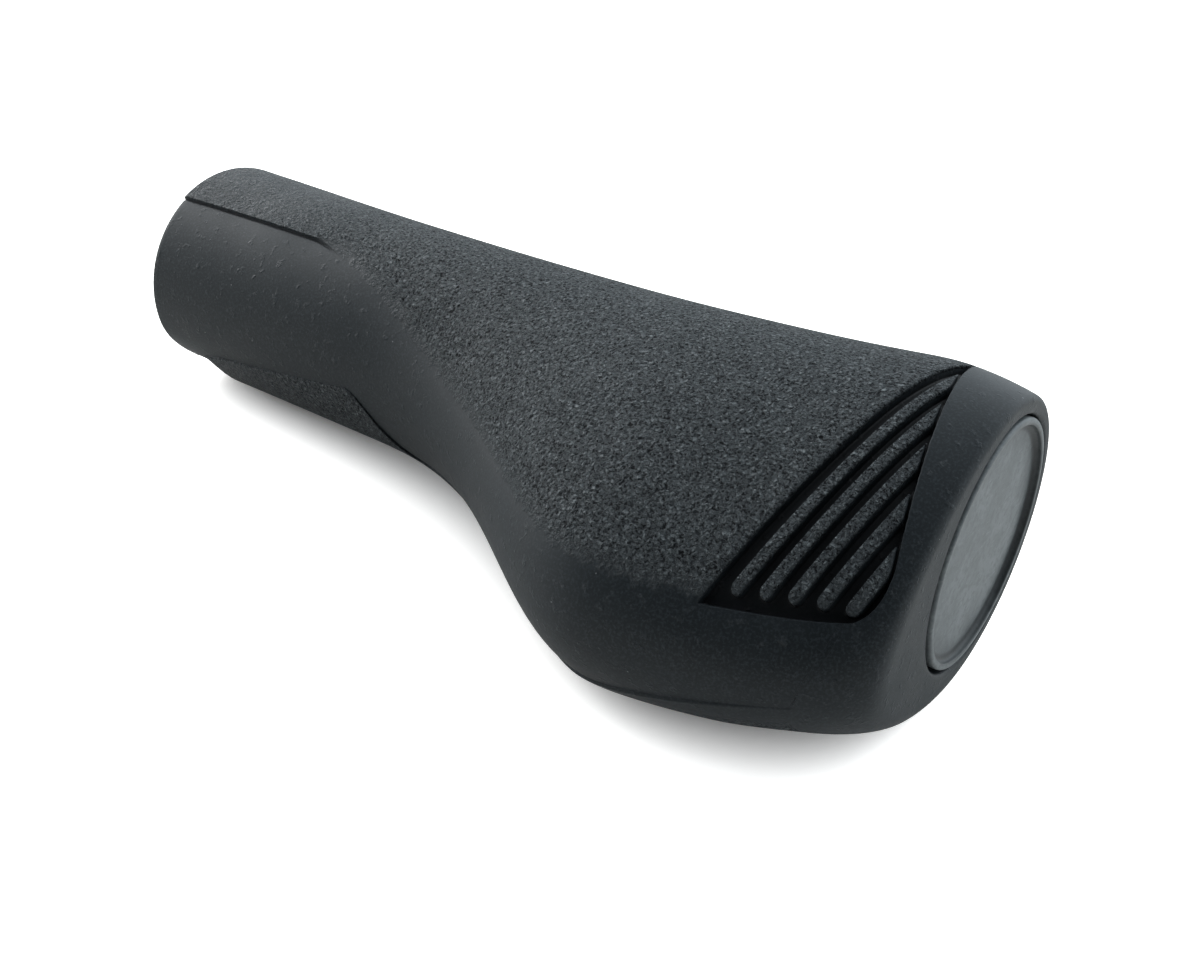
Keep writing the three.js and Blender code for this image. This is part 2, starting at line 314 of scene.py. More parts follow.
# The ribbed zone in plan: its lower side is the top of the band, its inner side is a slight bow
zone_from = GRIP_LENGTH - ZONE_CORNER_TO_END
zone_apex = np.array([GRIP_LENGTH - ZONE_APEX_TO_END, ZONE_APEX_PAST_AXIS])


def on_band_top(x):
    x = np.array([float(x)])
    return np.array([x[0], section_point(x, angle_at_height(x, band_top(x)))[0][0]])


zone_corner = on_band_top(zone_from)
lower_run = on_band_top(GRIP_LENGTH - ZONE_HEEL_TO_END - ZONE_HEEL_RADIUS) - zone_corner
zone_heel = zone_corner + lower_run * (ZONE_CORNER_TO_END - ZONE_HEEL_TO_END) / lower_run[0]
lower_side = lower_run / np.hypot(*lower_run)
outer_side = (zone_apex - zone_heel) / np.hypot(*(zone_apex - zone_heel))
heel_in = zone_heel - lower_side * ZONE_HEEL_RADIUS
heel_out = zone_heel + outer_side * ZONE_HEEL_RADIUS
inner_run = zone_apex - zone_corner
rib_side = inner_run / np.hypot(*inner_run)
rib_half = RIB_WIDTH / 2
OUTLINE_POINTS = 40


def bow(share):
    """A parabola that rises to the zone's bow halfway and is zero at both ends."""
    return 4 * ZONE_BOW * share * (1 - share)


def inner_line(y):
    share = np.clip((y - zone_corner[1]) / inner_run[1], 0, 1)
    return zone_corner[0] + inner_run[0] * share + bow(share) / rib_side[1]


def outer_line(y):
    share = np.linspace(0, 1, OUTLINE_POINTS)[:, None]
    corner = curve_point(heel_in, zone_heel, heel_out, share)
    side = lerp(heel_out, zone_apex, share) - np.array([1, 0]) * bow(share)
    line = np.vstack([corner, side[1:]])
    return np.interp(y, line[:, 1], line[:, 0])


# Where each column enters and leaves the zone. Past its apex, round the back and the underside,
# the outer line goes on as the border of the grained panel.
BACK_BLEND_LENGTH = 45
SEARCH_LEAD = 4
SEARCH_STEP = 0.05
search_x = np.arange(zone_from - SEARCH_LEAD, GRIP_LENGTH, SEARCH_STEP)
search_grid = np.tile(search_x[:, None], (1, column_count))
search_y = section_point(search_grid, at(column_angle, search_grid))[0]
search_distance = (search_grid - inner_line(search_y)) * rib_side[1]
inner_x = np.array([np.interp(0, search_distance[:, c], search_x) for c in range(column_count)])
outer_x = search_x[np.argmax(search_grid - outer_line(search_y) > SEARCH_STEP / 2, axis=0)]
inner_angle = at(column_angle, inner_x)
above = (np.sin(inner_angle) > 0) & (section_point(inner_x, inner_angle)[0] < zone_apex[1])
in_zone = ~on_band & above
apex_column = np.nonzero(in_zone)[0][-1]
past_apex = at(column_from_top, np.full(column_count, zone_apex[0]))
past_apex = smoothstep(past_apex - past_apex[apex_column], 0, BACK_BLEND_LENGTH)
under_border = GRIP_LENGTH - PANEL_BORDER_TO_END
up_band = np.arange(column_count) / top_column
inner_x = np.where(in_zone, inner_x, lerp(zone_apex[0], zone_from, past_apex))
inner_x = np.where(on_band, zone_from, inner_x)
outer_x = np.where(in_zone, outer_x, lerp(zone_apex[0], under_border, past_apex))
outer_x = np.where(on_band, lerp(under_border, outer_x[top_column], up_band), outer_x)

# Rows run round the grip. In the zone they keep fixed distances from its inner side, so that each
# wall of a rib is a clean line, and elsewhere the same rows fan out over plain rubber.
ROW_STEP = 0.56
TAIL_ROWS = 24
TAIL_CROWDING = 1.6
WALL_HALF = 0.09
WALL_ROWS = 6
BETWEEN_WALLS = (0.25, 0.5, 0.75)
BORDER_OFFSETS = [-0.36, -0.31, -0.26, -0.2, -0.14, -0.08, -0.03, 0.03, 0.1, 0.2]
zone_width = (heel_out[0] - inner_line(heel_out[1])) * rib_side[1]
column_cosine = float(lower_side @ rib_side)
column_sine = math.sqrt(1 - column_cosine ** 2)
zone_limit = outer_x + BORDER_OFFSETS[0]


def x_at_distance(distance):
    """Where each column is the given distance past the zone's inner side."""
    spread = lerp(inner_x, np.maximum(zone_limit, inner_x), np.clip(distance / zone_width, 0, 1))
    found = [np.interp(d, column, search_x) for d, column in zip(distance, search_distance.T)]
    found = np.where(in_zone, found, spread)
    return np.minimum(found, np.maximum(zone_limit, inner_x - WALL_HALF))


def rib_edges(index):
    """Distances of a rib's two sides on each column, with its round lower end."""
    middle = FIRST_GROOVE_WIDTH + rib_half + RIB_PITCH * index
    x = x_at_distance(np.full(column_count, middle))
    y = section_point(x, at(column_angle, x))[0]
    rise = (y - zone_corner[1]) * lower_side[0] - (x - zone_corner[0]) * lower_side[1]
    start = (rise - RIB_END_GAP - rib_half) / column_sine
    present = in_zone & (start > -rib_half / column_sine)
    start = np.maximum(start, -rib_half / column_sine)
    root = np.sqrt(np.maximum(rib_half ** 2 - (start * column_sine) ** 2, 0))
    edges = []
    for side in (-1, 1):
        along = side * root - start * column_cosine
        straight = start + along * column_cosine >= 0
        along = np.where(straight, side * rib_half / column_sine, along)
        edges.append(middle + along * column_sine)
    return edges[0], edges[1], present


ribs = [rib_edges(i) for i in range(RIB_COUNT)]


def zone_rows():
    edges = [np.zeros(column_count)]
    for low, high, _ in ribs:
        edges += [low, high]
    edges.append(np.full(column_count, zone_width))
    distances = []
    for edge, after in zip(edges[:-1], edges[1:]):
        distances += [edge + offset for offset in np.linspace(-WALL_HALF, WALL_HALF, WALL_ROWS)]
        distances += [lerp(edge, after, share) for share in BETWEEN_WALLS]
    distances = np.maximum.accumulate(distances, axis=0)
    x = np.array([x_at_distance(distance) for distance in distances])
    share = np.linspace(0, 1, len(x))[:, None]
    even = lerp(inner_x - WALL_HALF, np.maximum(zone_limit, inner_x), share)
    near = smoothstep(up_band, 0, 1)
    band = lerp(even, x[:, top_column, None], near)
    return np.where(in_zone, x, np.where(on_band, band, even))


def row_positions():
    body_count = math.ceil((zone_from - MOUTH_EDGE_RADIUS) / ROW_STEP)
    rows = [lerp(MOUTH_EDGE_RADIUS, inner_x - WALL_HALF, i / body_count) for i in range(body_count)]
    rows += list(zone_rows())
    rows += [outer_x + offset for offset in BORDER_OFFSETS]
    start = outer_x + BORDER_OFFSETS[-1]
    end = GRIP_LENGTH - RIM_RADIUS
    for i in range(1, TAIL_ROWS):
        rows.append(lerp(end, start, (1 - i / TAIL_ROWS) ** TAIL_CROWDING))
    return np.array(rows)


# Heights of the skin over its smooth form
STEP_WIDTH = 0.14
FOOT_STEP_WIDTH = 0.2
LINE_DEPTH = 0.2
LINE_EDGE = (0.1, 0.42)
LINE_SHADE = 0.9
TOP_FADE = (6, 38)
TOP_FADE_DISTANCE = (2, 14)
UNDER_START = (2, 10)
UNDER_FADE = (-9, -0.3)
UNDER_SMOOTH_EDGE = (2.5, 6)
UNDER_BORDER_START = (3, 9)
MOUTH_CUT = 1.2
MOUTH_CUT_DEPTHS = (1, 12)
MOUTH_CUT_ON_BAND = (0, 13)
MOUTH_CUT_ON_PANEL = (6.5, 11)
POCKET_EDGE = (0.02, 0.22)
BORDER_DEPTH = 0.6
BORDER_DEPTH_ON_BACK = 0.14
BORDER_FALL = (-0.36, -0.26)
BORDER_RISE = (-0.12, 0.06)
GRAIN_FEATHER = 4.2
GRAIN_END_IN_GROOVE = (0.05, 0.4)
GRAIN_END_AT_BORDER = (-0.5, -0.3)
MOUTH_GRAIN = 0.4
MOUTH_GRAIN_RISE = (12, 44)
GROOVE_SHADE = (0.35, 0.95)


def heights_and_grain(x, angle):
    from_top = at(column_from_top, x)
    from_foot = at(column_from_foot, x)
    fade = 1 - smoothstep(x, BAND_DROP_START, BAND_DROP_START + PANEL_FADE_LENGTH)
    upper = smoothstep(np.sin(angle), -PANEL_BACK_BLEND, PANEL_BACK_BLEND)
    foot_step = smoothstep(from_foot, 0, FOOT_STEP_WIDTH)
    step = np.minimum(smoothstep(from_top, 0, STEP_WIDTH), foot_step)
    top_fade = lerp(fade, 1 - smoothstep(x, *TOP_FADE), smoothstep(from_top, *TOP_FADE_DISTANCE))
    rise = PANEL_RISE * step * lerp(1, top_fade, upper)
    line = (1 - smoothstep(from_top, *LINE_EDGE)) * fade * on_band
    height = np.where(on_band, -LINE_DEPTH * line, rise)

    y, z = section_point(x, angle)
    cut_on_band = 1 - smoothstep(x, *MOUTH_CUT_ON_BAND)
    cut_on_panel = 1 - smoothstep(x, *MOUTH_CUT_ON_PANEL)
    cut = MOUTH_CUT * smoothstep(-z, *MOUTH_CUT_DEPTHS)
    cut = cut * np.where(on_band, cut_on_band, cut_on_panel)
    distance = (x - inner_line(y)) * rib_side[1]
    groove = smoothstep(distance, -WALL_HALF, WALL_HALF)
    for low, high, present in ribs:
        rib = smoothstep(distance - low, -WALL_HALF, WALL_HALF)
        rib = rib * (1 - smoothstep(distance - high, -WALL_HALF, WALL_HALF)) * present
        groove = groove * (1 - rib)
    past = x - outer_x
    inside = 1 - smoothstep(past, *BORDER_RISE)
    groove = groove * smoothstep(from_top, *POCKET_EDGE) * inside * in_zone
    on_back = BORDER_DEPTH_ON_BACK * smoothstep(from_foot, *UNDER_BORDER_START)
    border_depth = np.where(in_zone, BORDER_DEPTH * smoothstep(from_top, *POCKET_EDGE), on_back)
    border = border_depth * smoothstep(past, *BORDER_FALL) * inside * ~on_band
    under_ends = (1 - smoothstep(past, *UNDER_FADE)) * smoothstep(x, *UNDER_START)
    height = np.where(on_band, height, height * inside * lerp(under_ends, 1, upper))
    height = height - np.maximum(GROOVE_DEPTH * groove, border) - cut

    feather = smoothstep(from_top, 0, lerp(GRAIN_FEATHER, STEP_WIDTH, fade))
    feather = np.where(upper > 0.5, feather, 1)
    grain = feather * step * lerp(MOUTH_GRAIN, 1, smoothstep(x, *MOUTH_GRAIN_RISE))
    grain = grain * (1 - smoothstep(groove, *GRAIN_END_IN_GROOVE))
    grain = grain * (1 - smoothstep(past, *GRAIN_END_AT_BORDER))
    palm_edge = smoothstep(x, BAND_FOOT_PEAK, BAND_FOOT_PEAK + 2 * BAND_FOOT_FALL)
    grain = grain * lerp(1, smoothstep(from_foot, *UNDER_SMOOTH_EDGE), palm_edge)
    # Painted shade: the colour darkens down in the grooves, along the pocket's border and in the line on
    # top of the band, where shade falls.
    shade = smoothstep(np.maximum(groove, border / BORDER_DEPTH), *GROOVE_SHADE)
    shade = np.maximum(shade, LINE_SHADE * line)
    return height, np.where(on_band, 0, grain), shade


RIM_STEPS = 6
FACE_STEPS = 5
BORE_STEPS = 12


def sleeve_rings():
    """Rings of points from the mouth over the skin to the outer end and back through the bore."""
    rings, grains, shades = [], [], []

    def skin_ring(x, inset=0.0):
        x = np.broadcast_to(x, (column_count,)).astype(float)
        angle = at(column_angle, x)
        height, grain, shade = heights_and_grain(x, angle)
        y, z = section_point(x, angle, inset - height)
        rings.append(np.stack([x, y, z], axis=1))
        grains.append(grain)
        shades.append(shade)

    def plain_ring(points):
        rings.append(points)
        grains.append(np.zeros(column_count))
        shades.append(np.zeros(column_count))

    def round_ring(x, radius, turn):
        across = [np.full(column_count, float(x)), radius * np.cos(turn), radius * np.sin(turn)]
        return np.stack(across, axis=1)

    quarter = np.arange(RIM_STEPS + 1) / RIM_STEPS * math.pi / 2
    for turn in quarter[:-1]:
        from_mouth = MOUTH_EDGE_RADIUS * (1 - math.cos(turn))
        skin_ring(from_mouth, MOUTH_EDGE_RADIUS * (1 - math.sin(turn)))
    for row in row_positions():
        skin_ring(row)
    for turn in quarter:
        from_end = RIM_RADIUS * (1 - math.sin(turn))
        skin_ring(GRIP_LENGTH - from_end, RIM_RADIUS * (1 - math.cos(turn)))
    mouth, rim = rings[0], rings[-1]
    mouth_turn = np.unwrap(np.arctan2(mouth[:, 2], mouth[:, 1]))
    rim_turn = np.unwrap(np.arctan2(rim[:, 2], rim[:, 1]))
    lip = round_ring(GRIP_LENGTH, recess_radius + LIP_RADIUS, rim_turn)
    for i in range(1, FACE_STEPS):
        plain_ring(lerp(rim, lip, i / FACE_STEPS))
    for turn in quarter:
        radius = recess_radius + LIP_RADIUS * (1 - math.sin(turn))
        plain_ring(round_ring(GRIP_LENGTH - LIP_RADIUS * (1 - math.cos(turn)), radius, rim_turn))
    plain_ring(round_ring(recess_floor, recess_radius, rim_turn))
    for i in range(BORE_STEPS + 1):
        share = i / BORE_STEPS
        turn = lerp(rim_turn, mouth_turn, share)
        plain_ring(round_ring(lerp(recess_floor, LIP_RADIUS, share), bore_radius, turn))
    plain_ring(round_ring(0, bore_radius + LIP_RADIUS, mouth_turn))
    return np.array(rings), np.array(grains), np.array(shades)


def to_frame(points):
    """From the drawing's millimetres to the frame's metres, turned about the bar axis."""
    cap_low, cap_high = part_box("end_cap")
    inner_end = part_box("grip_sleeve")[0].x
    axis = (cap_low + cap_high) / 2
    across, upward = math.cos(math.radians(PALM_DROOP)), math.sin(math.radians(PALM_DROOP))
    x, y, z = np.moveaxis(np.asarray(points) * MM, -1, 0)
    turned = np.stack([x, y * across - z * upward, y * upward + z * across], axis=-1)
    return turned + np.array([inner_end, axis.y, axis.z])


def ring_mesh(name, rings, closed):
    """A mesh whose faces join each ring of points to the next."""
    ring_total, count = rings.shape[:2]
    faces = []
    for r in range(ring_total if closed else ring_total - 1):
        here, there = r * count, (r + 1) % ring_total * count
        faces += [(here + c, there + c, there + (c + 1) % count, here + (c + 1) % count)
                  for c in range(count)]
    mesh = bpy.data.meshes.new(name)
    mesh.from_pydata(to_frame(rings).reshape(-1, 3).tolist(), [], faces)
    mesh.polygons.foreach_set("use_smooth", np.ones(len(mesh.polygons), bool))
    piece = bpy.data.objects.new(name, mesh)
    bpy.context.scene.collection.objects.link(piece)
    return piece


def weld(piece, distance):
    bpy.context.view_layer.objects.active = piece
    modifier = piece.modifiers.new("weld", "WELD")
    modifier.merge_threshold = distance * MM
    bpy.ops.object.modifier_apply(modifier=modifier.name)


WELD_DISTANCE = 0.004
sleeve_points, sleeve_grain, groove_shade = sleeve_rings()
sleeve = ring_mesh("rubber_sleeve", sleeve_points, closed=True)
# The groove attribute carries that painted shade into the material.
for layer_name, layer_values in (("grain", sleeve_grain), ("groove", groove_shade)):
    layer = sleeve.data.attributes.new(layer_name, "FLOAT", "POINT")
    layer.data.foreach_set("value", layer_values.ravel().astype(np.float32))
weld(sleeve, WELD_DISTANCE)


# Parts of the materials. Every length in them is in millimetres, and the colour sockets of a mix
# node go by number.
COLOR_A, COLOR_B, COLOR_RESULT = 6, 7, 2


def add_node(material, kind, **settings):
    node = material.node_tree.nodes.new(kind)
    for name, value in settings.items():
        setattr(node, name, value)
    return node


def wire(material, *pairs):
    for start, end in pairs:
        material.node_tree.links.new(start, end)


def new_material(name):
    material = bpy.data.materials.new(name)
    material.use_nodes = True
    return material, material.node_tree.nodes["Principled BSDF"]


def millimetre_coordinates(material):
    """The object's own coordinates in millimetres, so that every pattern below has a real size."""
    place = add_node(material, "ShaderNodeTexCoord")
    scale = add_node(material, "ShaderNodeVectorMath", operation="SCALE")
    scale.inputs["Scale"].default_value = 1 / MM
    wire(material, (place.outputs["Object"], scale.inputs[0]))
    return scale.outputs[0]


def noise(material, coordinates, per_mm, detail, roughness=0.5, distortion=0.0):
    node = add_node(material, "ShaderNodeTexNoise")
    node.inputs["Scale"].default_value = per_mm
    node.inputs["Detail"].default_value = detail
    node.inputs["Roughness"].default_value = roughness
    node.inputs["Distortion"].default_value = distortion
    wire(material, (coordinates, node.inputs["Vector"]))
    return node.outputs["Fac"]


def remap(material, value, low, high, to_low=0.0, to_high=1.0, smooth=True):
    node = add_node(material, "ShaderNodeMapRange")
    node.interpolation_type = "SMOOTHSTEP" if smooth else "LINEAR"
    node.inputs["From Min"].default_value = low
    node.inputs["From Max"].default_value = high
    node.inputs["To Min"].default_value = to_low
    node.inputs["To Max"].default_value = to_high
    wire(material, (value, node.inputs["Value"]))
    return node.outputs["Result"]


def combine(material, operation, first, second):
    node = add_node(material, "ShaderNodeMath", operation=operation)
    for socket, value in zip(node.inputs, (first, second)):
        if isinstance(value, (int, float)):
            socket.default_value = value
        else:
            wire(material, (value, socket))
    return node.outputs[0]


def blend_colors(material, share, first, second):
    node = add_node(material, "ShaderNodeMix", data_type="RGBA")
    for socket, value in zip((node.inputs[COLOR_A], node.inputs[COLOR_B]), (first, second)):
        if isinstance(value, tuple):
            socket.default_value = (*value, 1)
        else:
            wire(material, (value, socket))
    wire(material, (share, node.inputs["Factor"]))
    return node.outputs[COLOR_RESULT]


def bump(material, height, depth, under=None):
    """Bump of the given depth in millimetres, on top of another one if there is one."""
    node = add_node(material, "ShaderNodeBump")
    node.inputs["Distance"].default_value = depth * MM
    wire(material, (height, node.inputs["Height"]))
    if under:
        wire(material, (under, node.inputs["Normal"]))
    return node.outputs["Normal"]


BAND_BLACK = (0.0058, 0.0085, 0.0105)
BAND_GREY = (0.009, 0.0122, 0.0145)
SPECKLE_COLOR = (0.0185, 0.0235, 0.0275)
PANEL_COLOR = (0.055, 0.0645, 0.07)
PANEL_COLOR_SHARE = 0.8
# The next two colours are a painted highlight on the grain's tips and painted shade in its pits.
PAINTED_TIP_HIGHLIGHT = (0.13, 0.145, 0.15)
PAINTED_PIT_SHADE = (0.001, 0.0018, 0.0028)
# Painted shade for the grooves, the pocket border and the line on the band.
PAINTED_GROOVE_SHADE = (0.0006, 0.0012, 0.002)
LINT_COLOR = (0.16, 0.165, 0.17)
LINT_PER_MM = 0.28
RAGGED_SHARE = 0.6
PANEL_ROUGHNESS = 0.1
PIT_ROUGHNESS = 0.3
SLEEVE_SPECULAR = 0.22


def sleeve_rubber():
    """Black rubber: dull bands with a little lint, and panels with a fine leathery grain."""
    # Painted shade darkens the grain's pits, the grooves, the pocket border and the line on the band,
    # and a painted highlight lightens the grain's tips.
    material, shader = new_material("sleeve_rubber")
    place = millimetre_coordinates(material)
    mask = add_node(material, "ShaderNodeAttribute", attribute_name="grain").outputs["Fac"]
    # The groove attribute is painted shade in the grooves, the pocket border and the band's line.
    groove = add_node(material, "ShaderNodeAttribute", attribute_name="groove").outputs["Fac"]
    ragged = noise(material, place, per_mm=0.8, detail=3)
    ragged = combine(material, "MULTIPLY", ragged, RAGGED_SHARE)
    mask = combine(material, "ADD", mask, ragged)
    mask = remap(material, mask, low=0.35, high=1.25, smooth=False)

    ridges = noise(material, place, per_mm=2.8, detail=3, roughness=0.55, distortion=0.7)
    swells = noise(material, place, per_mm=1.2, detail=2)
    relief = remap(material, swells, low=0.35, high=0.65, to_low=0.75, to_high=1.15)
    relief = combine(material, "MULTIPLY", mask, relief)
    # Pits and tips of the grain: the colour paints shade into the pits and a highlight onto the tips.
    pits = combine(material, "MULTIPLY", remap(material, ridges, low=0.49, high=0.37), relief)
    tips = combine(material, "MULTIPLY", remap(material, ridges, low=0.52, high=0.68), relief)
    grain = combine(material, "ADD", remap(material, ridges, low=0.36, high=0.66), swells)
    grain = combine(material, "MULTIPLY", grain, relief)
    fine = noise(material, place, per_mm=6, detail=3, roughness=0.6)
    normal = bump(material, fine, depth=0.012)
    normal = bump(material, grain, depth=0.5, under=normal)
    wire(material, (normal, shader.inputs["Normal"]))

    cloud = noise(material, place, per_mm=0.09, detail=4, roughness=0.6)
    color = remap(material, cloud, low=0.3, high=0.7)
    color = blend_colors(material, color, BAND_BLACK, BAND_GREY)
    speckle = noise(material, place, per_mm=3.2, detail=2, roughness=0.6)
    speckle = remap(material, speckle, low=0.42, high=0.72, to_high=0.9)
    color = blend_colors(material, speckle, color, SPECKLE_COLOR)
    panel = combine(material, "MULTIPLY", mask, PANEL_COLOR_SHARE)
    color = blend_colors(material, panel, color, PANEL_COLOR)
    # Painted highlight on the grain's tips and painted shade in its pits.
    color = blend_colors(material, tips, color, PAINTED_TIP_HIGHLIGHT)
    color = blend_colors(material, pits, color, PAINTED_PIT_SHADE)
    # Painted shade in the grooves, the pocket border and the line on the band.
    color = blend_colors(material, groove, color, PAINTED_GROOVE_SHADE)
    lint = add_node(material, "ShaderNodeTexVoronoi", feature="F1")
    lint.inputs["Scale"].default_value = LINT_PER_MM
    wire(material, (place, lint.inputs["Vector"]))
    lint = remap(material, lint.outputs["Distance"], low=0.036, high=0.022, to_high=0.7)
    color = blend_colors(material, lint, color, LINT_COLOR)
    wire(material, (color, shader.inputs["Base Color"]))

    rough = remap(material, cloud, low=0.3, high=0.7, to_low=0.5, to_high=0.6, smooth=False)
    panel_rough = combine(material, "MULTIPLY", mask, PANEL_ROUGHNESS)
    pit_rough = combine(material, "MULTIPLY", pits, PIT_ROUGHNESS)
    rough = combine(material, "ADD", combine(material, "ADD", rough, panel_rough), pit_rough)
    wire(material, (rough, shader.inputs["Roughness"]))
    shader.inputs["Specular IOR Level"].default_value = SLEEVE_SPECULAR
    return material


sleeve.data.materials.append(sleeve_rubber())
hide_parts("grip_sleeve")
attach(sleeve, "root")

# End cap
# A round plug of lighter, smoother rubber, pressed into the outer end: a dished face inside a
# raised bead, a short edge that leaves a dark seam in the recess, and a hollow spigot in the bore.
CAP_BEAD_WIDTH = 0.9
CAP_BEAD_HEIGHT = 0.2
CAP_DISH_DEPTH = 0.7
CAP_DISH_FILLET = 1
CAP_EDGE_RADIUS = 0.3
CAP_SEAT_SHIFT = 0.09
CAP_CORNER_SHADE = 0.9
CAP_CORNER_WIDTH = 1.5
SPIGOT_LENGTH = 8
SPIGOT_WALL = 2.2
CAP_TURNS = 240
CAP_CURVE_STEPS = 8
FLAT_RINGS = 6


def cap_profile():
    """Points along the turned outline, as distance along the bar axis and radius."""
    radius = CAP_DIAMETER / 2
    spigot = bore_radius - CAP_CLEARANCE
    back = GRIP_LENGTH - CAP_THICKNESS
    crest = GRIP_LENGTH + CAP_BEAD_HEIGHT
    floor = GRIP_LENGTH - CAP_DISH_DEPTH
    bead_inside = radius - CAP_BEAD_WIDTH
    flat_radius = bead_inside - CAP_DISH_FILLET
    share = np.linspace(0, 1, CAP_CURVE_STEPS + 1)[:, None]
    points = [(back, 0), (back, spigot - SPIGOT_WALL)]
    points += [(back - SPIGOT_LENGTH, spigot - SPIGOT_WALL), (back - SPIGOT_LENGTH, spigot)]
    points += [(back, spigot), (back, radius - CAP_EDGE_RADIUS), (back + CAP_EDGE_RADIUS, radius)]
    bead_top = (crest, radius - CAP_BEAD_WIDTH / 2)
    outer = [(GRIP_LENGTH - CAP_EDGE_RADIUS, radius), (crest, radius), bead_top]
    inner = [bead_top, (crest, bead_inside), (GRIP_LENGTH, bead_inside)]
    fillet = [(GRIP_LENGTH, bead_inside), (floor, bead_inside), (floor, flat_radius)]
    for start, middle, end in (outer, inner, fillet):
        curve = curve_point(np.array(start), np.array(middle), np.array(end), share)
        points += [tuple(point) for point in curve]
    points += [(floor, flat_radius * i / FLAT_RINGS) for i in range(FLAT_RINGS - 1, -1, -1)]
    return points


def cap_rings():
    """The outline turned about the bar axis, a little off centre, so its seam is uneven."""
    turns = np.linspace(0, 2 * math.pi, CAP_TURNS, endpoint=False)
    rings = []
    for x, radius in cap_profile():
        ring = [np.full(CAP_TURNS, float(x)), -radius * np.cos(turns), radius * np.sin(turns)]
        rings.append(np.stack(ring, axis=1))
    return np.array(rings) + np.array([0, CAP_SEAT_SHIFT, CAP_SEAT_SHIFT])


def corner_shade(x, radius):
    """Share of painted shade in the corner inside the bead, on the plug's face alone."""
    if x < GRIP_LENGTH - CAP_THICKNESS / 2:
        return 0.0
    corner_edge = CAP_DIAMETER / 2 - CAP_BEAD_WIDTH + CAP_CORNER_WIDTH / 4
    share = np.clip((corner_edge - radius) / CAP_CORNER_WIDTH, 0, 1)
    return CAP_CORNER_SHADE * math.sin(math.pi * share)


cap = ring_mesh("end_plug", cap_rings(), closed=False)
# The corner attribute is painted shade in the corner inside the bead.
corner_shades = [corner_shade(x, radius) for x, radius in cap_profile()]
layer = cap.data.attributes.new("corner", "FLOAT", "POINT")
layer.data.foreach_set("value", np.repeat(corner_shades, CAP_TURNS).astype(np.float32))
weld(cap, WELD_DISTANCE)


CAP_DARK = (0.085, 0.096, 0.1)
CAP_LIGHT = (0.15, 0.163, 0.166)
MOTTLE_COLOR = (0.055, 0.063, 0.066)
SCUFF_COLOR = (0.25, 0.262, 0.266)
SCUFF_SHARE = 0.6
SCUFF_STRETCH = (1, 0.35, 2.2)
SCUFF_TURN = (0.9, 0, 0)
PAINTED_CORNER_SHADE = (0.004, 0.0055, 0.0065)
CAP_SPECULAR = 0.3


def cap_rubber():
    """Dark grey rubber with cloudy patches, light scuffs and painted shade in the corner of the bead."""
    material, shader = new_material("cap_rubber")
    place = millimetre_coordinates(material)
    cloud = noise(material, place, per_mm=0.16, detail=5, roughness=0.65)
    stretch = add_node(material, "ShaderNodeMapping")
    stretch.inputs["Scale"].default_value = SCUFF_STRETCH
    stretch.inputs["Rotation"].default_value = SCUFF_TURN
    wire(material, (place, stretch.inputs["Vector"]))
    scuffs = noise(
        material, stretch.outputs[0], per_mm=1.4, detail=6, roughness=0.7, distortion=0.4)
    scuffs = remap(material, scuffs, low=0.55, high=0.8)
    corner = add_node(material, "ShaderNodeAttribute", attribute_name="corner").outputs["Fac"]
    color = remap(material, cloud, low=0.35, high=0.65)
    color = blend_colors(material, color, CAP_DARK, CAP_LIGHT)
    mottle = noise(material, place, per_mm=1.1, detail=5, roughness=0.65)
    mottle = remap(material, mottle, low=0.4, high=0.7, to_high=0.6)
    color = blend_colors(material, mottle, color, MOTTLE_COLOR)
    scuff_share = combine(material, "MULTIPLY", scuffs, SCUFF_SHARE)
    color = blend_colors(material, scuff_share, color, SCUFF_COLOR)
    # Painted shade in the corner inside the bead.
    color = blend_colors(material, corner, color, PAINTED_CORNER_SHADE)
    wire(material, (color, shader.inputs["Base Color"]))
    rough = remap(material, cloud, low=0.3, high=0.7, to_low=0.46, to_high=0.56, smooth=False)
    wire(material, (rough, shader.inputs["Roughness"]))
    fine = noise(material, place, per_mm=7, detail=3)
    normal = bump(material, fine, depth=0.006)
    normal = bump(material, scuffs, depth=0.01, under=normal)
    wire(material, (normal, shader.inputs["Normal"]))
    shader.inputs["Specular IOR Level"].default_value = CAP_SPECULAR
    return material


cap.data.materials.append(cap_rubber())
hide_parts("end_cap")
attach(cap, "root")

# Studio
# A white table under the grip, a bright room round it and a soft lamp on its left. The table leans
# by the small angle at which the grip really lies, on the belly of the palm rest and the underside
# near the inner end.
REST_PITCH = 2.9
TABLE_SIZE = 4000
TABLE_COLOR = (0.87, 0.84, 0.8, 1)
TABLE_ROUGHNESS = 0.9
TABLE_GLOW = 0.95
TABLE_CONTACT_GLOW = 0.04
TABLE_MIRROR_GLOW = 0.1
SHADOW_REACH = 30
SHADOW_OPENNESS = (0.1, 0.42)


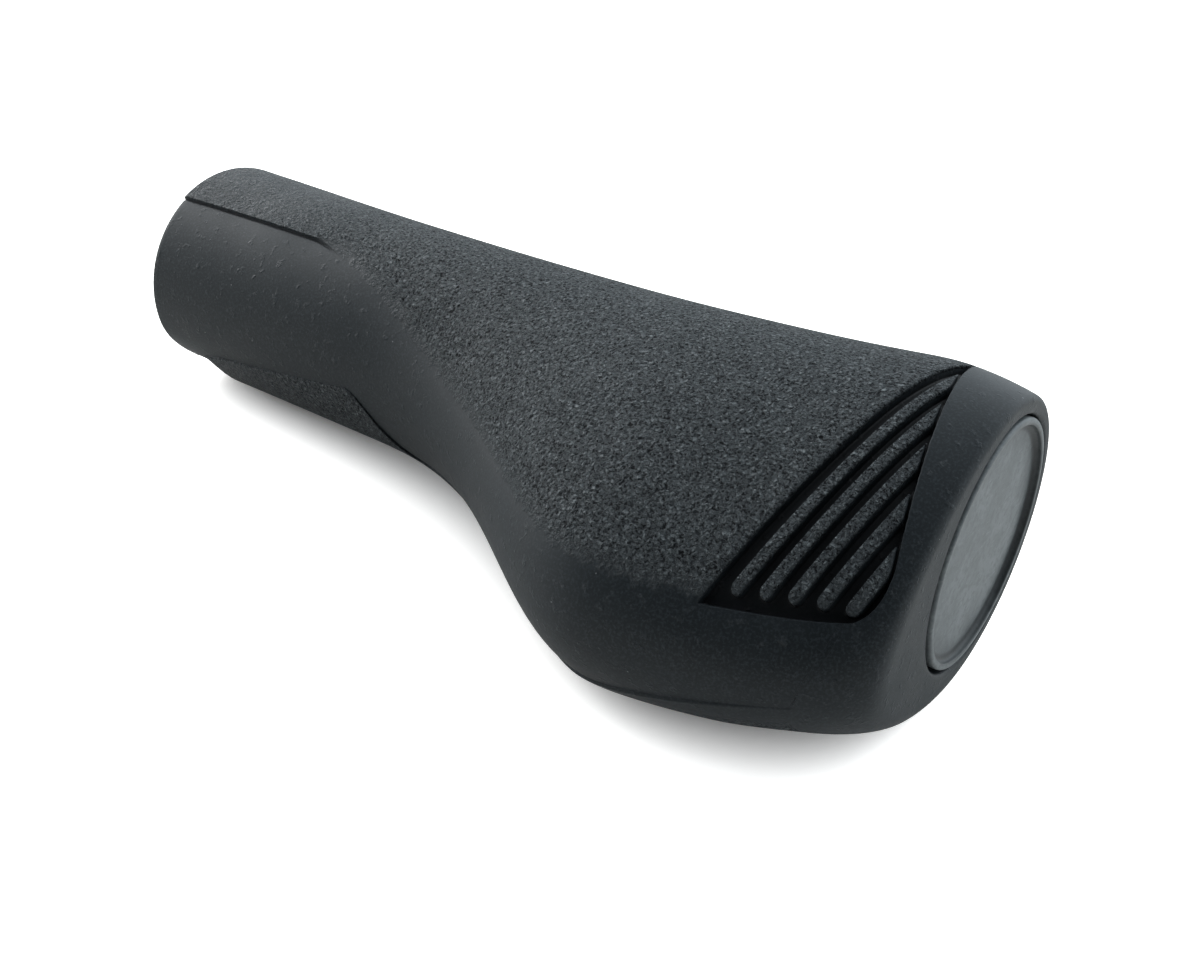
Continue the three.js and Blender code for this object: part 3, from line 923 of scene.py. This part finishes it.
def add_table():
    points = np.array([vertex.co for vertex in sleeve.data.vertices])
    pitch = math.radians(REST_PITCH)
    normal = np.array([math.sin(pitch), 0, math.cos(pitch)])
    lowest = float((points @ normal).min())
    half = TABLE_SIZE / 2 * MM
    mesh = bpy.data.meshes.new("table")
    corners = [(-half, -half, 0), (half, -half, 0), (half, half, 0), (-half, half, 0)]
    mesh.from_pydata(corners, [], [(0, 1, 2, 3)])
    table = bpy.data.objects.new("table", mesh)
    bpy.context.scene.collection.objects.link(table)
    table.matrix_world = Matrix.Rotation(pitch, 4, "Y")
    table.location = Vector(normal) * lowest
    material, shader = new_material("table_white")
    # The camera sees the table glow white, and the glow fades near the grip with the ambient occlusion:
    # a painted contact shadow, laid over the real shadow from the lamps.
    light_path = add_node(material, "ShaderNodeLightPath")
    openness = add_node(material, "ShaderNodeAmbientOcclusion")
    openness.inputs["Distance"].default_value = SHADOW_REACH * MM
    glow = remap(
        material, openness.outputs["AO"], *SHADOW_OPENNESS, TABLE_CONTACT_GLOW, TABLE_GLOW, smooth=False)
    glow = combine(material, "MULTIPLY", glow, light_path.outputs["Is Camera Ray"])
    glossy, through = light_path.outputs["Is Glossy Ray"], light_path.outputs["Is Transmission Ray"]
    mirrored = combine(material, "MAXIMUM", glossy, through)
    mirrored = combine(material, "MULTIPLY", mirrored, TABLE_MIRROR_GLOW)
    glow = combine(material, "ADD", glow, mirrored)
    shader.inputs["Base Color"].default_value = TABLE_COLOR
    shader.inputs["Roughness"].default_value = TABLE_ROUGHNESS
    shader.inputs["Specular IOR Level"].default_value = 0
    shader.inputs["Emission Color"].default_value = (1, 1, 1, 1)
    wire(material, (glow, shader.inputs["Emission Strength"]))
    mesh.materials.append(material)


def add_softbox(name, place, aim, size, watts):
    data = bpy.data.lights.new(name, "AREA")
    data.shape = "RECTANGLE"
    data.size, data.size_y = size[0] * MM, size[1] * MM
    data.energy = watts
    lamp = bpy.data.objects.new(name, data)
    bpy.context.scene.collection.objects.link(lamp)
    lamp.location = Vector(place) * MM
    lamp.rotation_euler = (Vector(aim) - Vector(place)).to_track_quat("-Z", "Y").to_euler()


# The room is bright on the left and behind the grip, and dark in front of it. Each bright side has
# a direction and a strength.
BRIGHT_SIDES = [
    ((-0.95, 0, 0.3), 1.7),
    ((0.5, 0.75, 0.43), 2.2),
    ((-0.55, 0.7, 0.45), 0.4),
    ((0, 0, 1), 0.15),
]
BRIGHT_EDGE = 0.35
DIM_ROOM = 0.02
ROOM_TINT = (0.9, 0.995, 1.06, 1)


def add_world():
    world = bpy.data.worlds.new("white_room")
    world.use_nodes = True
    bpy.context.scene.world = world
    nodes, links = world.node_tree.nodes, world.node_tree.links
    direction = nodes.new("ShaderNodeTexCoord").outputs["Generated"]
    room = nodes["Background"]
    total = None
    for side, brightness in BRIGHT_SIDES:
        towards = nodes.new("ShaderNodeVectorMath")
        towards.operation = "DOT_PRODUCT"
        towards.inputs[1].default_value = side
        links.new(direction, towards.inputs[0])
        strength = nodes.new("ShaderNodeMapRange")
        strength.interpolation_type = "SMOOTHSTEP"
        strength.inputs["From Min"].default_value = BRIGHT_EDGE
        strength.inputs["To Max"].default_value = brightness
        links.new(towards.outputs["Value"], strength.inputs["Value"])
        add = nodes.new("ShaderNodeMath")
        add.inputs[0].default_value = DIM_ROOM
        if total:
            links.new(total, add.inputs[0])
        links.new(strength.outputs["Result"], add.inputs[1])
        total = add.outputs[0]
    room.inputs["Color"].default_value = ROOM_TINT
    links.new(total, room.inputs["Strength"])
    white = nodes.new("ShaderNodeBackground")
    white.inputs["Color"].default_value = (1, 1, 1, 1)
    light_path = nodes.new("ShaderNodeLightPath")
    mix = nodes.new("ShaderNodeMixShader")
    links.new(light_path.outputs["Is Camera Ray"], mix.inputs["Fac"])
    links.new(room.outputs[0], mix.inputs[1])
    links.new(white.outputs[0], mix.inputs[2])
    links.new(mix.outputs[0], nodes["World Output"].inputs["Surface"])


LAMP_PLACE = (-600, 60, 260)
LAMP_AIM = (0, 0, 15)
LAMP_SIZE = (500, 500)
LAMP_WATTS = 4.2

add_table()
add_world()
add_softbox("left_softbox", LAMP_PLACE, LAMP_AIM, LAMP_SIZE, LAMP_WATTS)
bpy.context.scene.view_settings.view_transform = "Standard"
